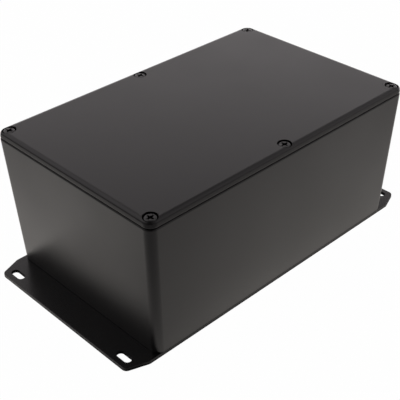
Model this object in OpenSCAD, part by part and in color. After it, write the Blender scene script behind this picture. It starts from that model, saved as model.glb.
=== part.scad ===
// Flanged die cast box, sizes in millimetres.
// A drafted box with screw posts, a bevelled lid that laps inside its rim, and a slotted
// sheet plate screwed under its floor. Z = 0 is the underside of the plate.

/* [Box] */
// Length of the box over its rim
box_l = 188; // [150:1:240]
// Width of the box over its rim
box_w = 120; // [90:1:160]
// Height of the box from its foot to its rim
box_h = 78; // [40:0.1:110]
// Radius of the upright corners
corner_r = 4.8; // [4:0.1:6]
// Draft of the walls: how far the foot lies inside the rim on each side
foot_inset = 3.25; // [1:0.05:5]
// Thickness of the walls
wall_t = 2.5; // [2:0.1:3]
// Thickness of the floor
floor_t = 3; // [2:0.1:5]
// Rounding along the foot, outside
foot_r = 0.6; // [0.4:0.1:1.5]
// Rounding along the floor, inside
floor_r = 2; // [0.5:0.1:2.3]
// Rounding along the rim, outside
rim_r = 0.8; // [0.2:0.1:1]

/* [Lid] */
// Height of the lid's edge above the rim
lid_h = 4.1; // [3.8:0.1:6]
// Thickness of the lid over its hollow underside
lid_t = 2.5; // [1.8:0.1:3]
// Height of the dark joint that the lid leaves open round the rim
joint_h = 0.5; // [0.3:0.1:0.8]
// Depth of the joint, measured from the outside
joint_depth = 1; // [0.6:0.1:1.5]
// Rounding along the lower edge of the lid, outside
lid_edge_r = 0.7; // [0.2:0.1:0.8]
// Draft of the lid's upright edge, in degrees
lid_draft = 8; // [0:0.5:10]
// Width of the bevel round the top, seen from above
bevel_run = 2; // [1:0.1:3.5]
// Height of the bevel round the top
bevel_drop = 1.2; // [0.5:0.1:2]
// Rounding between the bevel and the top
bevel_top_r = 3; // [0.2:0.1:4]
// Rounding between the bevel and the upright edge
bevel_edge_r = 1; // [0.2:0.1:1.5]
// Depth of the lip that laps inside the rim
lip_depth = 2; // [1.5:0.1:4]
// Thickness of the lip
lip_t = 1.8; // [1.2:0.1:3]
// Space between the lip and the walls
lip_gap = 0.4; // [0.3:0.05:0.8]

/* [Lid screws] */
// Distance of the screws from the edges of the lid
screw_inset = 5; // [4.8:0.1:7]
// Diameter of the screws
screw_d = 3.5; // [2.5:0.1:4]
// Length of the screws under their heads
screw_len = 10; // [8:0.5:20]
// Diameter of the screw heads
head_d = 6.6; // [5.5:0.1:7]
// Height of the screw heads
head_h = 2.2; // [1.8:0.1:2.6]
// Rounding of the screw heads
head_r = 0.8; // [0.4:0.1:1.6]
// Depth of the heads below the top of the lid
head_sink = 0.45; // [0.1:0.05:0.6]
// Space round the heads in their recesses
head_gap = 0.5; // [0.3:0.05:1]
// Space round the screws in the holes of the lid
hole_gap = 0.2; // [0.1:0.05:0.4]
// Length of the driver recess, across the head
cross_l = 4.4; // [3:0.1:4.6]
// Width of the arms of the driver recess
cross_w = 1.2; // [0.7:0.1:1.4]
// Depth of the driver recess
cross_depth = 1.6; // [0.8:0.1:1.6]
// Bevel at the points of the screws
point_bevel = 0.5; // [0.2:0.1:0.8]

/* [Screw posts] */
// Metal round the thread of a post
post_wall = 2; // [1.6:0.1:2.6]
// Space round the screws in the posts
thread_gap = 0.3; // [0.2:0.05:0.5]
// Space between the lid and the tops of the posts
post_gap = 0.3; // [0.2:0.1:1]
// Depth of the holes past the points of the screws
point_gap = 3; // [1:0.5:6]
// Metal round the head recesses, under the lid
pad_wall = 1.4; // [1:0.1:2]

/* [Flange plate] */
// Thickness of the plate
plate_t = 2; // [1.8:0.1:3]
// How far the plate reaches past the foot at each end
flange_reach = 17.2; // [12:0.1:30]
// How far the long edges of the plate lie inside the foot
plate_side_gap = 0; // [0:0.1:1]
// Length of the corner cuts along the plate
cut_l = 12.4; // [4:0.1:14]
// Width of the corner cuts across the plate
cut_w = 4.5; // [2:0.1:6]
// Rounding at the ends of the corner cuts
cut_r = 3; // [0.5:0.1:5]
// Length of the slots, along the ends of the plate
slot_l = 9.8; // [6:0.1:14]
// Width of the slots
slot_w = 4.4; // [4.1:0.1:6]
// Distance of the slots from the ends of the plate
slot_end = 5.45; // [4:0.05:8]
// Distance of the slots from the long edges of the plate
slot_side = 11.5; // [9:0.1:30]

/* [Flange screws] */
// Distance of the flange screws from the ends of the foot
flange_screw_end = 14; // [12:0.5:40]
// Distance of the flange screws from the sides of the foot
flange_screw_side = 14; // [12:0.5:40]
// Diameter of the flange screws
flange_screw_d = 3; // [2.5:0.1:3.5]
// Length of the flange screws over all
flange_screw_len = 6.2; // [5:0.1:10]
// Diameter of the countersunk heads
flange_head_d = 5.5; // [5:0.1:6.5]
// Height of the countersunk heads
flange_head_h = 1.6; // [1.2:0.1:1.7]
// Height of the upright edge round the countersunk heads
flange_head_edge = 0.2; // [0.1:0.1:0.4]
// Length of the driver recess, across the countersunk head
flange_cross_l = 3.2; // [2:0.1:3.4]
// Width of the arms of the driver recess in the countersunk head
flange_cross_w = 0.9; // [0.5:0.1:1.2]
// Depth of the driver recess in the countersunk head
flange_cross_depth = 1; // [0.6:0.1:1.1]
// Depth of the heads inside the underside of the plate
flange_head_sink = 0.1; // [0:0.1:0.1]
// Space round the flange screws in the plate and in the floor
flange_gap = 0.1; // [0.05:0.05:0.3]
// Metal round the thread of a floor boss
boss_wall = 2.2; // [1.5:0.1:3]
// Depth of the floor holes past the points of the screws
boss_point_gap = 1; // [0.5:0.5:3]
// Metal over the end of each floor hole
boss_cover = 1; // [0.8:0.1:3]

/* [Hidden] */

coat = [0.13, 0.13, 0.13];
screw_black = [0.09, 0.09, 0.09];
plate_black = [0.11, 0.11, 0.11];

// Facets round a blended corner, steps in a small rounding, and how far a cut runs past a face
corner_fn = 32;
round_steps = 4;
over = 1;
$fn = 64;

rim_z = plate_t + box_h;
lid_top = rim_z + lid_h;

foot_l = box_l - 2 * foot_inset;
foot_w = box_w - 2 * foot_inset;

// How far the wall at height z above the foot lies inside the rim
function wall_inset(z) = foot_inset * (box_h - z) / (box_h - foot_r);

inner_corner_r = corner_r - wall_t;
inner_floor_r = min(floor_r, inner_corner_r);

lip_l = box_l - 2 * (wall_t + lip_gap);
lip_w = box_w - 2 * (wall_t + lip_gap);
lip_corner_r = max(inner_corner_r - lip_gap, 0.3);
lip_inner_r = 0.5;
hollow_h = lip_depth + lid_h - lid_t;

screw_x = box_l / 2 - screw_inset;
screw_y = box_w / 2 - screw_inset;
screw_sides = [for (x = [-1, 0, 1]) for (y = [-1, 1]) [x, y]];
seat_z = lid_top - head_sink - head_h;
recess_d = head_d + 2 * head_gap;
pad_d = recess_d + 2 * pad_wall;

post_d = screw_d + 2 * (thread_gap + post_wall);
post_top = rim_z - lip_depth - post_gap;
post_hole_end = seat_z - screw_len - point_gap;

plate_l = foot_l + 2 * flange_reach;
plate_w = foot_w - 2 * plate_side_gap;
slot_x = plate_l / 2 - slot_end;
slot_y = plate_w / 2 - slot_side;

flange_screw_x = foot_l / 2 - flange_screw_end;
flange_screw_y = foot_w / 2 - flange_screw_side;
flange_point_z = flange_head_sink + flange_screw_len;
boss_d = flange_screw_d + 2 * (flange_gap + boss_wall);
boss_hole_end = flange_point_z + boss_point_gap;
boss_top = boss_hole_end + boss_cover;

// Unit vector at an angle
function unit(a) = [cos(a), sin(a)];

// Points along an arc, in degrees
function arc(centre, r, from, to) = [
    for (i = [0:round_steps])
        let (a = from + (to - from) * i / round_steps)
            centre + r * unit(a)
];

// Where two lines meet, each given by the angle of its normal and its distance from the origin
function meet(a, far_a, b, far_b) =
    [far_a * sin(b) - far_b * sin(a), far_b * cos(a) - far_a * cos(b)] / sin(b - a);

// The four corners of a rectangle whose corner rounding is r
module at_corners(l, w, r) {
    for (x = [-1, 1], y = [-1, 1])
        translate([x * (l / 2 - r), y * (w / 2 - r), 0])
            children();
}

// A turned corner at each corner of the box's outline, drawn in by inset
module turned_corners(profile, r, inset) {
    at_corners(box_l - 2 * inset, box_w - 2 * inset, r)
        rotate_extrude($fn = corner_fn)
            polygon(profile);
}

module rounded_rect(l, w, r) {
    square([l - 2 * r, w], center = true);
    square([l, w - 2 * r], center = true);
    at_corners(l, w, r)
        circle(r);
}

// Four copies, one in each quarter of the plan
module in_quarters(x, y) {
    for (side_x = [-1, 1], side_y = [-1, 1])
        translate([side_x * x, side_y * y, 0])
            children();
}

// A round shape of diameter d at a screw, run out square to the walls beside it
module wall_post(side, d) {
    translate([side.x * screw_x, side.y * screw_y]) {
        circle(d = d);
        translate([0, side.y * screw_inset / 2])
            square([d, screw_inset], center = true);
        if (side.x != 0)
            translate([side.x * screw_inset / 2, 0])
                square([screw_inset, d], center = true);
    }
}

module at_lid_screws() {
    for (side = screw_sides)
        translate([side.x * screw_x, side.y * screw_y, 0])
            children();
}

// Outside of the box: a rounded foot and a rounded rim, with drafted walls between them
module box_outside() {
    rim_low = box_h - rim_r;
    foot_profile = concat(
        [[0, 0]],
        arc([corner_r - foot_r, foot_r], foot_r, -90, 0),
        [[0, foot_r]]
    );
    rim_profile = concat(
        [[0, rim_low]],
        arc([corner_r - rim_r, rim_low], rim_r, 0, 90),
        [[0, box_h]]
    );
    hull() {
        turned_corners(foot_profile, corner_r, foot_inset);
        turned_corners(rim_profile, corner_r, wall_inset(rim_low));
    }
}

// Inside of the box: a rounded floor and drafted walls, open past the rim
module box_inside() {
    floor_round_top = floor_t + inner_floor_r;
    floor_profile = concat(
        [[0, floor_t]],
        arc([inner_corner_r - inner_floor_r, floor_round_top], inner_floor_r, -90, 0),
        [[0, floor_round_top]]
    );
    mouth_profile = [[0, box_h], [inner_corner_r, box_h], [inner_corner_r, box_h + over], [0, box_h + over]];
    hull() {
        turned_corners(floor_profile, inner_corner_r, wall_t + wall_inset(floor_round_top));
        turned_corners(mouth_profile, inner_corner_r, wall_t);
    }
}

// Die cast box: the screw posts and floor bosses are what the hollow leaves standing
module box() {
    color(coat)
        difference() {
            translate([0, 0, plate_t])
                box_outside();
            difference() {
                translate([0, 0, plate_t])
                    box_inside();
                linear_extrude(post_top)
                    for (side = screw_sides)
                        wall_post(side, post_d);
                in_quarters(flange_screw_x, flange_screw_y)
                    cylinder(d = boss_d, h = boss_top);
            }
            at_lid_screws()
                translate([0, 0, post_hole_end])
                    cylinder(d = screw_d + 2 * thread_gap, h = lid_top - post_hole_end);
            in_quarters(flange_screw_x, flange_screw_y)
                cylinder(d = flange_screw_d + 2 * flange_gap, h = boss_hole_end);
        }
}

// Outside of the lid: a land that seats on the rim, an upright edge above the joint, a bevel and a top
module lid_outside() {
    bevel_angle = atan2(bevel_drop, bevel_run);
    edge_turn = 90 - bevel_angle;
    low_centre = [corner_r - lid_edge_r, joint_h + lid_edge_r];
    edge_far = low_centre * unit(lid_draft) + lid_edge_r;
    bevel_far = [corner_r - bevel_run, lid_h] * unit(edge_turn);
    high_centre = meet(lid_draft, edge_far - bevel_edge_r, edge_turn, bevel_far - bevel_edge_r);
    flat_end = corner_r - bevel_run - bevel_top_r * tan(bevel_angle / 2);
    profile = concat(
        [[0, joint_h]],
        arc(low_centre, lid_edge_r, -90, lid_draft),
        arc(high_centre, bevel_edge_r, lid_draft, edge_turn),
        arc([flat_end, lid_h - bevel_top_r], bevel_top_r, edge_turn, 90),
        [[0, lid_h]]
    );
    linear_extrude(joint_h + over)
        rounded_rect(box_l - 2 * joint_depth, box_w - 2 * joint_depth, corner_r - joint_depth);
    hull()
        turned_corners(profile, corner_r, 0);
}

// Die cast lid: its lip laps inside the rim, and a pad stands round each screw
module lid() {
    color(coat)
        difference() {
            union() {
                translate([0, 0, rim_z])
                    lid_outside();
                translate([0, 0, rim_z - lip_depth])
                    linear_extrude(hollow_h)
                        rounded_rect(lip_l, lip_w, lip_corner_r);
            }
            translate([0, 0, rim_z - lip_depth - over])
                linear_extrude(over + hollow_h)
                    difference() {
                        rounded_rect(lip_l - 2 * lip_t, lip_w - 2 * lip_t, lip_inner_r);
                        for (side = screw_sides)
                            wall_post(side, pad_d);
                    }
            at_lid_screws() {
                translate([0, 0, seat_z])
                    cylinder(d = recess_d, h = lid_top + over - seat_z);
                translate([0, 0, post_top])
                    cylinder(d = screw_d + 2 * hole_gap, h = lid_top - post_top);
            }
        }
}

// Cross shaped driver recess, cut down from z = 0
module driver_recess(l, w, depth) {
    for (turn = [0, 90])
        rotate(turn)
            translate([0, 0, (over - depth) / 2])
                cube([l, w, depth + over], center = true);
}

// Pan head machine screw, seated at z = 0
module pan_screw() {
    profile = concat(
        [[0, -screw_len], [screw_d / 2 - point_bevel, -screw_len]],
        [[screw_d / 2, point_bevel - screw_len], [screw_d / 2, 0], [head_d / 2, 0]],
        arc([head_d / 2 - head_r, head_h - head_r], head_r, 0, 90),
        [[0, head_h]]
    );
    difference() {
        rotate_extrude()
            polygon(profile);
        translate([0, 0, head_h])
            driver_recess(cross_l, cross_w, cross_depth);
    }
}

module lid_screws() {
    color(screw_black)
        at_lid_screws()
            translate([0, 0, seat_z])
                pan_screw();
}

// Outline of the plate: a rectangle with long corner cuts, rounded where they start and end
module plate_outline() {
    cut_len = norm([cut_l, cut_w]);
    end_y = plate_w / 2 - cut_w - cut_r * (cut_len - cut_w) / cut_l;
    side_x = plate_l / 2 - cut_l - cut_r * (cut_len - cut_l) / cut_w;
    hull() {
        in_quarters(plate_l / 2 - cut_r, end_y)
            circle(cut_r, $fn = corner_fn);
        in_quarters(side_x, plate_w / 2 - cut_r)
            circle(cut_r, $fn = corner_fn);
    }
}

module slot() {
    ends = (slot_l - slot_w) / 2;
    linear_extrude(plate_t + 2 * over) {
        square([slot_w, 2 * ends], center = true);
        for (side = [-1, 1])
            translate([0, side * ends])
                circle(d = slot_w);
    }
}

// Profile of a countersunk screw whose head is flush with z = 0, grown by gap
function sunk_profile(gap, low, point) = [
    [0, low],
    [flange_head_d / 2 + gap, low],
    [flange_head_d / 2 + gap, flange_head_sink + flange_head_edge],
    [flange_screw_d / 2 + gap, flange_head_sink + flange_head_h],
    [flange_screw_d / 2 + gap, point],
    [0, point]
];

// Sheet steel plate with a slot at each corner and countersunk holes for its screws
module flange_plate() {
    color(plate_black)
        difference() {
            linear_extrude(plate_t)
                plate_outline();
            in_quarters(slot_x, slot_y)
                translate([0, 0, -over])
                    slot();
            in_quarters(flange_screw_x, flange_screw_y)
                rotate_extrude()
                    polygon(sunk_profile(flange_gap, -over, plate_t + over));
        }
}

module flange_screws() {
    color(screw_black)
        in_quarters(flange_screw_x, flange_screw_y)
            difference() {
                rotate_extrude()
                    polygon(sunk_profile(0, flange_head_sink, flange_point_z));
                translate([0, 0, flange_head_sink])
                    mirror([0, 0, 1])
                        driver_recess(flange_cross_l, flange_cross_w, flange_cross_depth);
            }
}

box();
lid();
lid_screws();
flange_plate();
flange_screws();
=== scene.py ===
import math

import bmesh
import bpy
from mathutils import Matrix, Vector


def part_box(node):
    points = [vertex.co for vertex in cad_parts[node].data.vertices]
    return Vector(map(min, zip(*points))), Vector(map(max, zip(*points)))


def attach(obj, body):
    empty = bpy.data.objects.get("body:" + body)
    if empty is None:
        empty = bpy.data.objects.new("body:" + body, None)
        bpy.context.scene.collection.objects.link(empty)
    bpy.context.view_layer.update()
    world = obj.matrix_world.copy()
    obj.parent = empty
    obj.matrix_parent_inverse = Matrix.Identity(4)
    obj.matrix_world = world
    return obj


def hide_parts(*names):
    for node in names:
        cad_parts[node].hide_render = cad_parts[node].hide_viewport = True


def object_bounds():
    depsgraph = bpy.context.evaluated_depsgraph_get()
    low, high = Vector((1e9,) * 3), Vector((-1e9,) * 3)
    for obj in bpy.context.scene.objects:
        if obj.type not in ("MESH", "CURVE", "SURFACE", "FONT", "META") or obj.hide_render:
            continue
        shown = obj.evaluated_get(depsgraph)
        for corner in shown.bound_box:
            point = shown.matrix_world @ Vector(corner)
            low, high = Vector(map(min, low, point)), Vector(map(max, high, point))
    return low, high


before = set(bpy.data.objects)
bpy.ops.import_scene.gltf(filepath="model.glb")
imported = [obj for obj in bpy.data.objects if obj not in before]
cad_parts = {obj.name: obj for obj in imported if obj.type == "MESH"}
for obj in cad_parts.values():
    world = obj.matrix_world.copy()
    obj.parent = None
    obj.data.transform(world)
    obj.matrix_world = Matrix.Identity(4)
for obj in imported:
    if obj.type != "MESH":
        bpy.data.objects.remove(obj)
cad_low, cad_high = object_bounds()

# Box
# One aluminium die casting, open at the top, with drafted walls and round upright corners. A post stands
# under each lid screw and a boss over each flange screw. It is powder coated satin black outside and left
# bare inside, apart from stray coat near the rim.
mm = 0.001
hair = 0.01 * mm  # heights closer than this count as level
sliver = hair / 10  # points closer than this are merged
over = 1 * mm  # how far a cutter runs past the face that it opens
box_low, box_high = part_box("box")
corner_r = 4.8 * mm
corner_steps = 16
foot_inset = 3.25 * mm
foot_r = 0.25 * mm
rim_r = 0.8 * mm
edge_steps = 6
wall_t = 2.5 * mm
floor_z = box_low.z + 3 * mm
floor_r = 2 * mm
screw_inset = 5 * mm
post_r = 4.05 * mm
post_low = floor_z - over
post_top = box_high.z - 2.3 * mm
post_hole_r = 2.05 * mm
post_hole_z = box_high.z - 11.55 * mm
boss_r = 3.8 * mm
boss_top = box_low.z + 6.3 * mm
boss_hole_r = 1.6 * mm
boss_hole_top = box_low.z + 5.3 * mm
round_steps = 48
sharp_angle = math.radians(32)

lid_screw_spots = [
    Vector((x * (box_high.x - screw_inset), y * (box_high.y - screw_inset), 0))
    for x in (-1, 0, 1)
    for y in (-1, 1)
]
flange_screw_low, flange_screw_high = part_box("flange_screws")
flange_head_r = 2.75 * mm
corners = [(x, y) for x in (-1, 1) for y in (-1, 1)]
flange_screw_spots = [
    Vector((x * (flange_screw_high.x - flange_head_r), y * (flange_screw_high.y - flange_head_r), 0))
    for x, y in corners
]

coat_dark = (0.003, 0.003, 0.003)
coat_light = (0.0045, 0.0045, 0.0045)
bare_dark = (0.36, 0.36, 0.37)
bare_light = (0.52, 0.52, 0.53)
stray_coat = (0.007, 0.007, 0.007)
stray_speckle = 0.3
noise_low, noise_middle, noise_high = 0.3, 0.5, 0.7  # a noise seldom leaves this range


def block(low, high):
    """A box between two corners."""
    bm = bmesh.new()
    bmesh.ops.create_cube(bm, size=1, matrix=Matrix.LocRotScale((low + high) / 2, None, high - low))
    return bm


def upright_edges(bm):
    """The edges that rise from one height to another."""
    return [e for e in bm.edges if abs(e.verts[0].co.z - e.verts[1].co.z) > hair]


def level_edges(bm, z):
    """The edges that lie level at height z."""
    return [e for e in bm.edges if all(abs(v.co.z - z) < hair for v in e.verts)]


def draw_in(verts, run):
    """Moves points towards the middle of the plan, as a draft does, with corner roundings kept."""
    for v in verts:
        v.co.x -= math.copysign(run, v.co.x)
        v.co.y -= math.copysign(run, v.co.y)


def round_off(bm, edges, reach, steps):
    """Rounds edges, with the rounding starting at a given reach from each."""
    bmesh.ops.bevel(
        bm, geom=edges, offset=reach, offset_type="OFFSET", segments=steps, profile=0.5,
        affect="EDGES", material=-1, clamp_overlap=True,
    )


def discs(spots, r, low, high):
    """Upright cylinders of one radius and height, one at each spot."""
    bm = bmesh.new()
    for spot in spots:
        bmesh.ops.create_cone(
            bm, cap_ends=True, segments=round_steps, radius1=r, radius2=r, depth=high - low,
            matrix=Matrix.Translation(spot + Vector((0, 0, (low + high) / 2))),
        )
    return bm


def run_outs(spots, r, axis, low, high):
    """Square blocks that run from each spot to the wall beside it, along X or Y."""
    bm = bmesh.new()
    for spot in spots:
        reach = Vector((0, 0, 0))
        reach[axis] = math.copysign(screw_inset + over, spot[axis])
        across = Vector((r, r, 0))
        across[axis] = 0
        first = spot - across
        last = spot + across + reach
        first.z, last.z = low, high
        size = Vector(map(abs, last - first))
        bmesh.ops.create_cube(bm, size=1, matrix=Matrix.LocRotScale((first + last) / 2, None, size))
    return bm


def solid(name, bm, *finishes):
    """A new piece from a bmesh, with its finishes as material slots."""
    mesh = bpy.data.meshes.new(name)
    bm.to_mesh(mesh)
    bm.free()
    for finish in finishes:
        mesh.materials.append(finish)
    piece = bpy.data.objects.new(name, mesh)
    bpy.context.scene.collection.objects.link(piece)
    return piece


def carve(piece, tool, operation="DIFFERENCE"):
    """Cuts a tool out of a piece, or joins it on, and keeps the result as the piece's own mesh."""
    step = piece.modifiers.new("carve", "BOOLEAN")
    step.object = tool
    step.operation = operation
    step.solver = "EXACT"
    step.material_mode = "TRANSFER"
    carved = piece.evaluated_get(bpy.context.evaluated_depsgraph_get())
    mesh = bpy.data.meshes.new_from_object(carved)
    piece.modifiers.remove(step)
    piece.data = mesh
    mesh.name = piece.name
    bpy.data.objects.remove(tool)


def leave_posts(hollow, r, low, high, finish):
    """Leaves a post in a hollow under each lid screw, run out square to the walls beside it."""
    corner_spots = [spot for spot in lid_screw_spots if spot.x]
    shapes = (
        discs(lid_screw_spots, r, low, high),
        run_outs(lid_screw_spots, r, 1, low, high),
        run_outs(corner_spots, r, 0, low, high),
    )
    for shape in shapes:
        carve(hollow, solid("posts", shape, finish))


def shade(piece):
    """Clears the slivers that cuts leave, then shades smooth up to the sharp edges, with flat faces flat."""
    bm = bmesh.new()
    bm.from_mesh(piece.data)
    bmesh.ops.remove_doubles(bm, verts=bm.verts, dist=sliver)
    bmesh.ops.triangulate(bm, faces=bm.faces, quad_method="BEAUTY", ngon_method="BEAUTY")
    bmesh.ops.dissolve_degenerate(bm, edges=bm.edges, dist=sliver)
    bm.to_mesh(piece.data)
    bm.free()
    piece.data.shade_smooth()
    piece.data.set_sharp_from_angle(angle=sharp_angle)
    piece.modifiers.new("flat_faces", "WEIGHTED_NORMAL").keep_sharp = True


def calc(tree, operation, *values):
    """What a maths node gives, fed by numbers and by other nodes."""
    node = tree.nodes.new("ShaderNodeMath")
    node.operation = operation
    for socket, value in zip(node.inputs, values):
        if isinstance(value, (int, float)):
            socket.default_value = value
        else:
            tree.links.new(value, socket)
    return node.outputs["Value"]


def along(tree, vector, direction):
    """How far a vector reaches along a direction."""
    node = tree.nodes.new("ShaderNodeVectorMath")
    node.operation = "DOT_PRODUCT"
    node.inputs[1].default_value = direction
    tree.links.new(vector, node.inputs[0])
    return node.outputs["Value"]


def fade(tree, value, start, end, first, last):
    """A smooth change from a first level to a last one while a value goes from start to end."""
    node = tree.nodes.new("ShaderNodeMapRange")
    node.interpolation_type = "SMOOTHSTEP"
    numbers = {"From Min": start, "From Max": end, "To Min": first, "To Max": last}
    for name, number in numbers.items():
        if isinstance(number, (int, float)):
            node.inputs[name].default_value = number
        else:
            tree.links.new(number, node.inputs[name])
    tree.links.new(value, node.inputs["Value"])
    return node.outputs["Result"]


def blend(tree, share, first, last):
    """A colour that goes from a first one to a last one, each given as numbers or by another node."""
    node = tree.nodes.new("ShaderNodeMix")
    node.data_type = "RGBA"
    tree.links.new(share, node.inputs["Factor"])
    for name, colour in (("A", first), ("B", last)):
        if isinstance(colour, tuple):
            node.inputs[name].default_value = (*colour, 1)
        else:
            tree.links.new(colour, node.inputs[name])
    return node.outputs["Result"]


def grain_group():
    """Fine orange peel of a baked coat, with a slow drift of tone across the piece."""
    group = bpy.data.node_groups.new("coat_grain", "ShaderNodeTree")
    for name, scale in (("Peel scale", 1500), ("Drift scale", 22)):
        socket = group.interface.new_socket(name, in_out="INPUT", socket_type="NodeSocketFloat")
        socket.default_value = scale
    for name in ("Peel", "Drift"):
        group.interface.new_socket(name, in_out="OUTPUT", socket_type="NodeSocketFloat")
    nodes, links = group.nodes, group.links
    inputs = nodes.new("NodeGroupInput")
    outputs = nodes.new("NodeGroupOutput")
    place = nodes.new("ShaderNodeTexCoord")
    for name, detail in (("Peel", 2), ("Drift", 4)):
        noise = nodes.new("ShaderNodeTexNoise")
        noise.inputs["Detail"].default_value = detail
        links.new(place.outputs["Object"], noise.inputs["Vector"])
        links.new(inputs.outputs[name + " scale"], noise.inputs["Scale"])
        links.new(noise.outputs["Fac"], outputs.inputs[name])
    return group


coat_grain = grain_group()


def grained(name, peel_depth):
    """A new finish with the coat's peel as a fine bump, its shader and its grain."""
    finish = bpy.data.materials.new(name)
    finish.use_nodes = True
    nodes, links = finish.node_tree.nodes, finish.node_tree.links
    surface = nodes["Principled BSDF"]
    grain = nodes.new("ShaderNodeGroup")
    grain.node_tree = coat_grain
    bump = nodes.new("ShaderNodeBump")
    bump.inputs["Distance"].default_value = peel_depth
    links.new(grain.outputs["Peel"], bump.inputs["Height"])
    links.new(bump.outputs["Normal"], surface.inputs["Normal"])
    return finish, surface, grain


def coat(name, dark, light, smooth, rough, peel_depth, level):
    """A baked black coat: its colour and gloss drift a little, and its peel is a fine bump."""
    finish, surface, grain = grained(name, peel_depth)
    tree = finish.node_tree
    drift = grain.outputs["Drift"]
    surface.inputs["Specular IOR Level"].default_value = level
    tree.links.new(blend(tree, drift, dark, light), surface.inputs["Base Color"])
    gloss = fade(tree, drift, noise_low, noise_high, smooth, rough)
    tree.links.new(gloss, surface.inputs["Roughness"])
    return finish


def bare_casting(name, bare_z, sprayed_z):
    """Cast aluminium left bare, with stray coat that thins out from the open edge inwards."""
    finish, surface, grain = grained(name, peel_depth=0.04 * mm)
    tree = finish.node_tree
    drift = grain.outputs["Drift"]
    grain.inputs["Peel scale"].default_value = 1600
    grain.inputs["Drift scale"].default_value = 45
    height = along(tree, tree.nodes.new("ShaderNodeTexCoord").outputs["Object"], (0, 0, 1))
    sprayed = fade(tree, height, bare_z, sprayed_z, first=0, last=1)
    speckle = calc(tree, "SUBTRACT", grain.outputs["Peel"], noise_middle)
    speckle = calc(tree, "MULTIPLY", speckle, stray_speckle)
    spray = calc(tree, "MAXIMUM", calc(tree, "ADD", sprayed, speckle), 0)
    spray = calc(tree, "MINIMUM", spray, 1)
    metal = blend(tree, drift, bare_dark, bare_light)
    tree.links.new(blend(tree, spray, metal, stray_coat), surface.inputs["Base Color"])
    tree.links.new(calc(tree, "SUBTRACT", 1, spray), surface.inputs["Metallic"])
    gloss = fade(tree, drift, noise_low, noise_high, first=0.44, last=0.56)
    tree.links.new(gloss, surface.inputs["Roughness"])
    return finish


cast_coat = coat(
    "cast_coat", coat_dark, coat_light, smooth=0.36, rough=0.4, peel_depth=0.02 * mm, level=0.5
)
inside_casting = bare_casting("box_inside", bare_z=box_high.z - 36 * mm, sprayed_z=box_high.z - 2 * mm)

outside = block(box_low, box_high)
draw_in([v for v in outside.verts if v.co.z < floor_z], foot_inset)
round_off(outside, upright_edges(outside), corner_r, corner_steps)
round_off(outside, level_edges(outside, box_low.z), foot_r, edge_steps)
round_off(outside, level_edges(outside, box_high.z), rim_r, edge_steps)
box = solid("box_casting", outside, cast_coat)

mouth_low = Vector((box_low.x + wall_t, box_low.y + wall_t, floor_z))
mouth_high = Vector((box_high.x - wall_t, box_high.y - wall_t, box_high.z + over))
hollow = block(mouth_low, mouth_high)
draft = foot_inset / (box_high.z - box_low.z - foot_r)
draw_in([v for v in hollow.verts if v.co.z < post_top], draft * (box_high.z - floor_z))
draw_in([v for v in hollow.verts if v.co.z > post_top], -draft * over)
round_off(hollow, upright_edges(hollow), corner_r - wall_t, corner_steps)
round_off(hollow, level_edges(hollow, floor_z), floor_r, edge_steps)
inside = solid("box_hollow", hollow, inside_casting)
leave_posts(inside, post_r, post_low, post_top, inside_casting)
carve(inside, solid("bosses", discs(flange_screw_spots, boss_r, post_low, boss_top), inside_casting))
carve(box, inside)
post_holes = discs(lid_screw_spots, post_hole_r, post_hole_z, post_top + over)
carve(box, solid("post_holes", post_holes, inside_casting))
boss_holes = discs(flange_screw_spots, boss_hole_r, 0, boss_hole_top)
carve(box, solid("boss_holes", boss_holes, inside_casting))
shade(box)
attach(box, "base")
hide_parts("box")

# Lid
# One aluminium die casting with a flat top, a bevel all round and a round recess for each screw head. A lip
# under it laps inside the rim of the box, and a pad stands round each screw. It is coated as the box is.
lid_low, lid_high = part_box("lid")
rim_z = box_high.z
joint_h = 0.5 * mm
joint_depth = 1 * mm
bevel_run = 2 * mm
bevel_drop = 1.2 * mm
bevel_top_r = 3 * mm
bevel_edge_r = 1 * mm
bevel_steps = 5
lid_edge_r = 0.7 * mm
lid_edge_steps = 4
lid_draft = math.radians(8)
lip_gap = 0.4 * mm
lip_t = 1.8 * mm
lip_corner_r = 0.5 * mm
lip_corner_steps = 3
lid_t = 2.5 * mm
pad_r = 5.2 * mm
pad_low = lid_low.z - 2 * over
recess_r = 3.8 * mm
seat_z = lid_high.z - 2.65 * mm
lid_hole_r = 1.95 * mm

# The drafted edge and the bevel meet at bevel_z, which lies bevel_inset inside the foot of the edge.
bevel_angle = math.atan2(bevel_drop, bevel_run)
edge_z = rim_z + joint_h
lean = math.tan(lid_draft)
slope = math.tan(bevel_angle)
bevel_inset = lean * (lid_high.z - bevel_drop - edge_z) / (1 - lean * slope)
bevel_z = edge_z + bevel_inset / lean
edge_reach = bevel_edge_r * math.tan((math.pi / 2 - bevel_angle - lid_draft) / 2)
top_reach = bevel_top_r * math.tan(bevel_angle / 2)


def level_face(bm, z):
    """The largest face that lies level at height z."""
    faces = [f for f in bm.faces if all(abs(v.co.z - z) < hair for v in f.verts)]
    return max(faces, key=lambda f: f.calc_area())


under_casting = bare_casting("lid_inside", bare_z=lid_low.z + 1.5 * mm, sprayed_z=lid_low.z)

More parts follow.
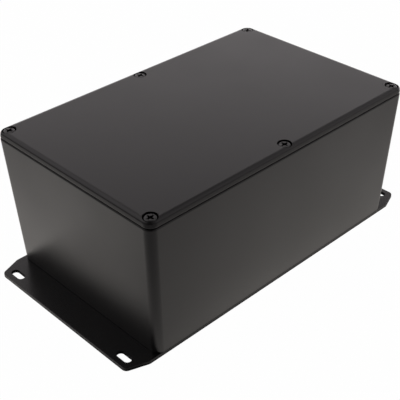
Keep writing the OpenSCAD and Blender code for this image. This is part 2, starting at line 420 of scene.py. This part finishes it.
cover = block(Vector((box_low.x, box_low.y, edge_z)), Vector((box_high.x, box_high.y, bevel_z)))
draw_in([v for v in cover.verts if v.co.z > edge_z + hair], bevel_inset)
round_off(cover, upright_edges(cover), corner_r, corner_steps)
bmesh.ops.inset_individual(
    cover, faces=[level_face(cover, bevel_z)], thickness=bevel_run - bevel_inset,
    depth=lid_high.z - bevel_z, use_even_offset=True,
)
round_off(cover, level_edges(cover, lid_high.z), top_reach, bevel_steps)
round_off(cover, level_edges(cover, bevel_z), edge_reach, bevel_steps)
round_off(cover, level_edges(cover, edge_z), lid_edge_r, lid_edge_steps)
land = level_face(cover, edge_z)
steps_down = (
    (joint_depth - lid_edge_r, joint_h),
    (wall_t + lip_gap - joint_depth, rim_z - lid_low.z),
)
for inset, drop in steps_down:
    bmesh.ops.inset_individual(cover, faces=[land], thickness=inset, use_even_offset=True)
    land = bmesh.ops.extrude_discrete_faces(cover, faces=[land])["faces"][0]
    bmesh.ops.translate(cover, verts=land.verts, vec=(0, 0, -drop))
lid = solid("lid_casting", cover, cast_coat)

lip_inset = wall_t + lip_gap + lip_t
under = block(
    Vector((box_low.x + lip_inset, box_low.y + lip_inset, lid_low.z - over)),
    Vector((box_high.x - lip_inset, box_high.y - lip_inset, lid_high.z - lid_t)),
)
round_off(under, upright_edges(under), lip_corner_r, lip_corner_steps)
underside = solid("lid_hollow", under, under_casting)
leave_posts(underside, pad_r, pad_low, lid_high.z, under_casting)
carve(lid, underside)
carve(lid, solid("recesses", discs(lid_screw_spots, recess_r, seat_z, lid_high.z + over), cast_coat))
carve(lid, solid("lid_holes", discs(lid_screw_spots, lid_hole_r, lid_low.z - over, lid_high.z), cast_coat))
shade(lid)
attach(lid, "cover")
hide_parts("lid")

# Lid screws
# Six black pan head machine screws with a cross recess. They seat in the recesses of the lid and thread into
# the posts of the box.
head_r = 3.3 * mm
head_h = 2.2 * mm
head_round = 0.8 * mm
head_round_steps = 8
shank_r = 1.75 * mm
thread_depth = 0.32 * mm
thread_pitch = 0.6 * mm
thread_steps = 24
neck_gap = 0.1 * mm
point_z = seat_z - 10 * mm
cross_l = 4.4 * mm
cross_w = 1.2 * mm
cross_depth = 1.6 * mm
cross_taper = 0.8
cross_tip_share = 0.1
cross_mouth_share = 0.26
lid_screw_turns = (4, 24, 0, 22, 76, 38)
oxide_dark = (0.007, 0.007, 0.007)
oxide_light = (0.01, 0.01, 0.011)


def turned(profile):
    """A solid turned about the upright axis from points of radius and height."""
    bm = bmesh.new()
    verts = [bm.verts.new((r, 0, z)) for r, z in profile]
    edges = [bm.edges.new(pair) for pair in zip(verts, verts[1:])]
    bmesh.ops.spin(
        bm, geom=verts + edges, cent=(0, 0, 0), axis=(0, 0, 1), dvec=(0, 0, 0), angle=math.tau,
        steps=round_steps, use_merge=True,
    )
    bmesh.ops.remove_doubles(bm, verts=bm.verts, dist=sliver)
    bmesh.ops.recalc_face_normals(bm, faces=bm.faces)
    return bm


def quarter_round(centre_r, centre_z, r, steps):
    """Points from the side of a rounded shoulder over to its top."""
    angles = [math.pi / 2 * i / steps for i in range(steps + 1)]
    return [(centre_r + r * math.cos(a), centre_z + r * math.sin(a)) for a in angles]


def threaded(r, low, high):
    """A rod with a thread: one V swept up a helix, trimmed level at both ends."""
    bm = bmesh.new()
    start = low - thread_pitch
    turns = math.ceil((high - start) / thread_pitch) + 1
    verts = [
        bm.verts.new((r - thread_depth, 0, start)),
        bm.verts.new((r, 0, start + thread_pitch / 2)),
        bm.verts.new((r - thread_depth, 0, start + thread_pitch)),
    ]
    edges = [bm.edges.new(pair) for pair in zip(verts, verts[1:])]
    bmesh.ops.spin(
        bm, geom=verts + edges, cent=(0, 0, 0), axis=(0, 0, 1), dvec=(0, 0, thread_pitch / thread_steps),
        angle=math.tau * turns, steps=thread_steps * turns, use_merge=False,
    )
    bmesh.ops.remove_doubles(bm, verts=bm.verts, dist=hair / 2)
    for z, side in ((low, -1), (high, 1)):
        bmesh.ops.bisect_plane(
            bm, geom=bm.verts[:] + bm.edges[:] + bm.faces[:], plane_co=(0, 0, z), plane_no=(0, 0, side),
            clear_outer=True,
        )
        bmesh.ops.holes_fill(bm, edges=level_edges(bm, z), sides=0)
    bmesh.ops.recalc_face_normals(bm, faces=bm.faces)
    return bm


def upright_faces(bm):
    """The faces that stand nearer upright than level."""
    bm.normal_update()
    return [f for f in bm.faces if abs(f.normal.z) < 0.5]


def cut_cross(piece, length, width, depth, place, finish):
    """Cuts a driver's cross into a head: arms that narrow towards the bottom, and a round middle."""
    arms = block(Vector((-width / 2, -width / 2, -depth)), Vector((width / 2, width / 2, over)))
    for f in bmesh.ops.extrude_discrete_faces(arms, faces=upright_faces(arms))["faces"]:
        bmesh.ops.translate(arms, verts=f.verts, vec=f.normal * (length - width) / 2)
    bottom = [v for v in arms.verts if v.co.z < 0]
    bmesh.ops.scale(arms, verts=bottom, vec=(cross_taper, cross_taper, 1))
    tip_r = cross_tip_share * length
    mouth_r = cross_mouth_share * length
    middle = turned([(0, -depth), (tip_r, -depth), (mouth_r, 0), (mouth_r, over), (0, over)])
    for name, tool in (("driver_arms", arms), ("driver_middle", middle)):
        bmesh.ops.transform(tool, matrix=place, verts=tool.verts)
        carve(piece, solid(name, tool, finish))


def repeat(name, pattern, spots, turns, finish):
    """One piece with a copy of a pattern at each spot, each turned by its own degrees."""
    bm = bmesh.new()
    for spot, turn in zip(spots, turns):
        count = len(bm.verts)
        bm.from_mesh(pattern.data)
        bm.verts.ensure_lookup_table()
        place = Matrix.Translation(spot) @ Matrix.Rotation(math.radians(turn), 4, "Z")
        bmesh.ops.transform(bm, matrix=place, verts=bm.verts[count:])
    bpy.data.objects.remove(pattern)
    return solid(name, bm, finish)


black_oxide = coat(
    "black_oxide", oxide_dark, oxide_light, smooth=0.28, rough=0.34, peel_depth=0.005 * mm, level=0.65
)
head_top = seat_z + head_h
neck_r = shank_r - thread_depth - neck_gap
head_profile = [(0, seat_z - over), (neck_r, seat_z - over), (neck_r, seat_z), (head_r, seat_z)]
head_profile += quarter_round(head_r - head_round, head_top - head_round, head_round, head_round_steps)
head_profile += [(0, head_top)]
screw = solid("lid_screw_one", turned(head_profile), black_oxide)
carve(screw, solid("thread", threaded(shank_r, point_z, seat_z - over / 2), black_oxide), "UNION")
cut_cross(screw, cross_l, cross_w, cross_depth, Matrix.Translation((0, 0, head_top)), black_oxide)
lid_screws = repeat("lid_screw_set", screw, lid_screw_spots, lid_screw_turns, black_oxide)
shade(lid_screws)
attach(lid_screws, "cover")
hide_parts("lid_screws")

# Flange plate
# One flat piece of sheet steel under the floor of the box, as wide as its foot and longer, with long corner
# cuts and a slot at each corner. It is powder coated black, a little glossier than the castings, and duller
# on its cut edges.
plate_low, plate_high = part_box("flange_plate")
cut_l = 12.4 * mm
cut_w = 4.5 * mm
cut_r = 3 * mm
cut_end_steps = 8
cut_side_steps = 4
slot_l = 9.8 * mm
slot_w = 4.4 * mm
slot_end = 5.45 * mm
slot_side = 11.5 * mm
sheet_edge_r = 0.25 * mm
sheet_edge_steps = 4
sink_gap = 0.1 * mm
flange_shank_r = 1.5 * mm
flange_head_h = 1.6 * mm
flange_head_edge = 0.2 * mm

sheet_gloss = {"smooth": 0.22, "rough": 0.26, "peel_depth": 0.01 * mm}
plate_coat = coat("plate_coat", coat_dark, coat_light, level=0.8, **sheet_gloss)
edge_coat = coat("edge_coat", coat_dark, coat_light, level=0.22, **sheet_gloss)

sheet = block(plate_low, plate_high)
for x, y in corners:
    bmesh.ops.bisect_plane(
        sheet, geom=sheet.verts[:] + sheet.edges[:] + sheet.faces[:],
        plane_co=(x * plate_high.x, y * (plate_high.y - cut_w), 0), plane_no=(x * cut_w, y * cut_l, 0),
        clear_outer=True,
    )
    bmesh.ops.holes_fill(sheet, edges=[e for e in sheet.edges if e.is_boundary], sides=0)
end_turn = math.atan2(cut_l, cut_w)
side_turn = math.pi / 2 - end_turn
end_corners = [e for e in upright_edges(sheet) if abs(e.verts[0].co.x) > plate_high.x - hair]
round_off(sheet, end_corners, cut_r * math.tan(end_turn / 2), cut_end_steps)
side_corners = [e for e in upright_edges(sheet) if abs(e.verts[0].co.y) > plate_high.y - hair]
round_off(sheet, side_corners, cut_r * math.tan(side_turn / 2), cut_side_steps)
for z in (plate_low.z, plate_high.z):
    round_off(sheet, level_edges(sheet, z), sheet_edge_r, sheet_edge_steps)
for f in upright_faces(sheet):
    f.material_index = 1
plate = solid("flange_sheet", sheet, plate_coat, edge_coat)

slots = bmesh.new()
for x, y in corners:
    ring = bmesh.ops.create_cone(
        slots, cap_ends=True, segments=round_steps, radius1=slot_w / 2, radius2=slot_w / 2,
        depth=2 * (plate_high.z + over), matrix=Matrix.Rotation(math.pi / round_steps, 4, "Z"),
    )["verts"]
    for v in ring:
        v.co.y += math.copysign((slot_l - slot_w) / 2, v.co.y)
    place = Matrix.Translation((x * (plate_high.x - slot_end), y * (plate_high.y - slot_side), 0))
    bmesh.ops.transform(slots, matrix=place, verts=ring)
carve(plate, solid("slots", slots, edge_coat))
sink_profile = [
    (0, -over), (flange_head_r + sink_gap, -over),
    (flange_head_r + sink_gap, sink_gap + flange_head_edge),
    (flange_shank_r + sink_gap, sink_gap + flange_head_h),
    (flange_shank_r + sink_gap, plate_high.z + over), (0, plate_high.z + over),
]
sink = solid("sink", turned(sink_profile), plate_coat)
carve(plate, repeat("sinks", sink, flange_screw_spots, (0, 0, 0, 0), plate_coat))
shade(plate)
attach(plate, "base")
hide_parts("flange_plate")

# Flange screws
# Four black countersunk screws with a cross recess, driven from below through the plate into the bosses on
# the floor of the box.
flange_head_low = flange_screw_low.z
flange_head_top = flange_head_low + flange_head_h
flange_neck_r = flange_shank_r - thread_depth - neck_gap
flange_cross_l = 3.2 * mm
flange_cross_w = 0.9 * mm
flange_cross_depth = 1 * mm
flange_screw_turns = (12, 51, 80, 30)

flange_profile = [
    (0, flange_head_low), (flange_head_r, flange_head_low),
    (flange_head_r, flange_head_low + flange_head_edge),
    (flange_neck_r, flange_head_top), (flange_neck_r, flange_head_top + over), (0, flange_head_top + over),
]
sunk = solid("flange_screw_one", turned(flange_profile), black_oxide)
rod = threaded(flange_shank_r, flange_head_top + over / 2, flange_screw_high.z)
carve(sunk, solid("thread", rod, black_oxide), "UNION")
upside_down = Matrix.Translation((0, 0, flange_head_low)) @ Matrix.Rotation(math.pi, 4, "X")
cut_cross(sunk, flange_cross_l, flange_cross_w, flange_cross_depth, upside_down, black_oxide)
flange_screws = repeat("flange_screw_set", sunk, flange_screw_spots, flange_screw_turns, black_oxide)
shade(flange_screws)
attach(flange_screws, "base")
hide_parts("flange_screws")

# Floor
# A plain white table, seen almost white with a trace of the box's own soft shadow. The coats mirror a
# painted glow on it, a painted light that is strongest round the foot of the box and weaker towards the
# front, with a painted contact shadow where the plate touches it.
floor_half = 3
floor_drop = 0.2 * mm
room_back = Vector((0.687, 0.727, 0))
room_right = Vector((0.727, -0.687, 0))
table_paint = (0.8, 0.8, 0.8, 1)
painted_glow_tone = (1, 0.955, 0.9, 1)
painted_glow_squash = 0.64
painted_glow_spread = 0.02
white_share = 0.99


def times(tree, first, *others):
    """The product of numbers and of what other nodes give."""
    product = first
    for other in others:
        product = calc(tree, "MULTIPLY", product, other)
    return product


white_table = bpy.data.materials.new("white_table")
white_table.use_nodes = True
table = white_table.node_tree
table.nodes.remove(table.nodes["Principled BSDF"])
table_point = table.nodes.new("ShaderNodeNewGeometry").outputs["Position"]
path = table.nodes.new("ShaderNodeLightPath").outputs

# The painted glow falls off with the distance from the middle of the box, and each side has a level of its
# own.
out_x = along(table, table_point, (1, 0, 0))
out_y = along(table, table_point, (0, 1, 0))
far_x = times(table, out_x, painted_glow_squash)
far = calc(table, "ADD", times(table, far_x, far_x), times(table, out_y, out_y))
near = calc(table, "DIVIDE", 1, calc(table, "ADD", calc(table, "DIVIDE", far, painted_glow_spread), 1))
depth = along(table, table_point, room_back)
left_level = fade(table, depth, start=-0.2, end=0.04, first=0.1, last=1.6)
right_level = times(
    table,
    fade(table, depth, start=-0.3, end=0.2, first=0.4, last=1.41),
    fade(table, depth, start=-0.23, end=-0.1, first=0.3, last=1),
)
aside = along(table, table_point, room_right)
side_level = fade(table, aside, start=-0.06, end=0.06, first=left_level, last=right_level)

# It is nothing at the outline of the plate, which paints a contact shadow there, and a little stronger just
# beyond it.
past_plate = calc(
    table, "MAXIMUM",
    calc(table, "SUBTRACT", calc(table, "ABSOLUTE", out_x), plate_high.x),
    calc(table, "SUBTRACT", calc(table, "ABSOLUTE", out_y), plate_high.y),
)
# painted contact shadow: no glow at the plate's edge, then a painted bright band just past it
painted_contact_shade = times(
    table,
    fade(table, past_plate, start=0, end=1.4 * mm, first=0, last=1),
    fade(table, past_plate, start=1.5 * mm, end=14 * mm, first=1.18, last=1),
)
mirrored = calc(table, "MAXIMUM", path["Is Glossy Ray"], path["Is Transmission Ray"])

paint = table.nodes.new("ShaderNodeBsdfDiffuse")
paint.inputs["Color"].default_value = table_paint
# an emission seen only in reflections: painted light on the table for the coats to mirror
painted_glow = table.nodes.new("ShaderNodeEmission")
painted_glow.inputs["Color"].default_value = painted_glow_tone
table.links.new(times(table, painted_contact_shade, near, side_level, mirrored), painted_glow.inputs["Strength"])
lit = table.nodes.new("ShaderNodeAddShader")
table.links.new(paint.outputs["BSDF"], lit.inputs[0])
table.links.new(painted_glow.outputs["Emission"], lit.inputs[1])
white = table.nodes.new("ShaderNodeEmission")
seen = table.nodes.new("ShaderNodeMixShader")
table.links.new(times(table, path["Is Camera Ray"], white_share), seen.inputs["Fac"])
table.links.new(lit.outputs["Shader"], seen.inputs[1])
table.links.new(white.outputs["Emission"], seen.inputs[2])
table.links.new(seen.outputs["Shader"], table.nodes["Material Output"].inputs["Surface"])

floor_shape = bmesh.new()
bmesh.ops.create_grid(
    floor_shape, x_segments=1, y_segments=1, size=floor_half,
    matrix=Matrix.Translation((0, 0, cad_low.z - floor_drop)),
)
floor = solid("floor", floor_shape, white_table)

# Light
# A white studio: a bright sweep low behind the box and soft panels high on both sides of it, dimmer low on
# the left and towards the front. A small, faint soft box stands on the left, and the backdrop is seen white.
sweep_way = (0.82, 0.57, 0)
studio_tone = (1, 0.94, 0.955)
backdrop_tone = (1, 1, 1)
least_square = 0.001  # keeps the division safe straight up and down
left_box_place = Vector((-0.5, 0.4, 0.5))
left_box_aim = Vector((0, 0, 0.04))
left_box_size = 0.4
left_box_power = 0.08

studio = bpy.data.worlds.new("studio")
studio.use_nodes = True
bpy.context.scene.world = studio
room = studio.node_tree
towards = room.nodes.new("ShaderNodeTexCoord").outputs["Generated"]
height = along(room, towards, (0, 0, 1))

# Facing is 1 towards the sweep, 0 to its sides and -1 away from it, at any height.
level_square = calc(room, "SUBTRACT", 1, times(room, height, height))
level_reach = calc(room, "SQRT", calc(room, "MAXIMUM", level_square, least_square))
facing = calc(room, "DIVIDE", along(room, towards, sweep_way), level_reach)
aside = along(room, towards, room_right)
behind = calc(room, "POWER", calc(room, "MAXIMUM", facing, 0), 2)
beside = calc(room, "SUBTRACT", 1, times(room, facing, facing))

sweep = times(
    room,
    fade(room, height, start=0.12, end=0.59, first=2.25, last=0.24),
    fade(room, height, start=0.6, end=0.95, first=1, last=0.6),
)
low_panels = fade(room, aside, start=-0.5, end=0.5, first=0.15, last=0.6)
panels = times(
    room,
    fade(room, height, start=0.1, end=0.8, first=low_panels, last=1.12),
    fade(room, height, start=0.85, end=1, first=1, last=0.2),
    fade(room, aside, start=-0.5, end=0.5, first=1.05, last=0.72),
    fade(room, facing, start=-0.1, end=0.3, first=0.48, last=1),
)
level = calc(room, "ADD", times(room, behind, sweep), times(room, beside, panels))
camera_ray = room.nodes.new("ShaderNodeLightPath").outputs["Is Camera Ray"]
sky = room.nodes["Background"]
room.links.new(blend(room, camera_ray, studio_tone, backdrop_tone), sky.inputs["Color"])
room.links.new(fade(room, camera_ray, start=0, end=1, first=level, last=1), sky.inputs["Strength"])

left_box = bpy.data.objects.new("left_box", bpy.data.lights.new("left_box", "AREA"))
left_box.data.size = left_box_size
left_box.data.energy = left_box_power
left_box.location = left_box_place
left_box.rotation_euler = (left_box_aim - left_box_place).to_track_quat("-Z", "Y").to_euler()
bpy.context.scene.collection.objects.link(left_box)

# Camera
# It looks down at the corner between the long side and the flange end, as in the photograph, through a long
# lens with everything sharp.
azimuth, elevation, roll = (math.radians(a) for a in (-43.43, 34.11, -0.98))
view_middle = Vector((-21.92, -16.23, 42.1)) * mm
view_distance = 480.6 * mm
look_right = Vector((math.cos(azimuth), math.sin(azimuth), 0))
look_back = Vector((
    math.sin(azimuth) * math.cos(elevation), -math.cos(azimuth) * math.cos(elevation), math.sin(elevation)
))
level_look = Matrix((look_right, look_back.cross(look_right), look_back)).transposed()
camera = bpy.data.objects.new("camera", bpy.data.cameras.new("camera"))
camera.data.sensor_width = 36
camera.data.lens = 80.73
camera.data.clip_start = 0.01
camera.rotation_mode = "QUATERNION"
camera.rotation_quaternion = (level_look @ Matrix.Rotation(roll, 3, "Z")).to_quaternion()
camera.location = view_middle + look_back * view_distance
bpy.context.scene.collection.objects.link(camera)
bpy.context.scene.camera = camera
bpy.context.scene.view_settings.view_transform = "Standard"
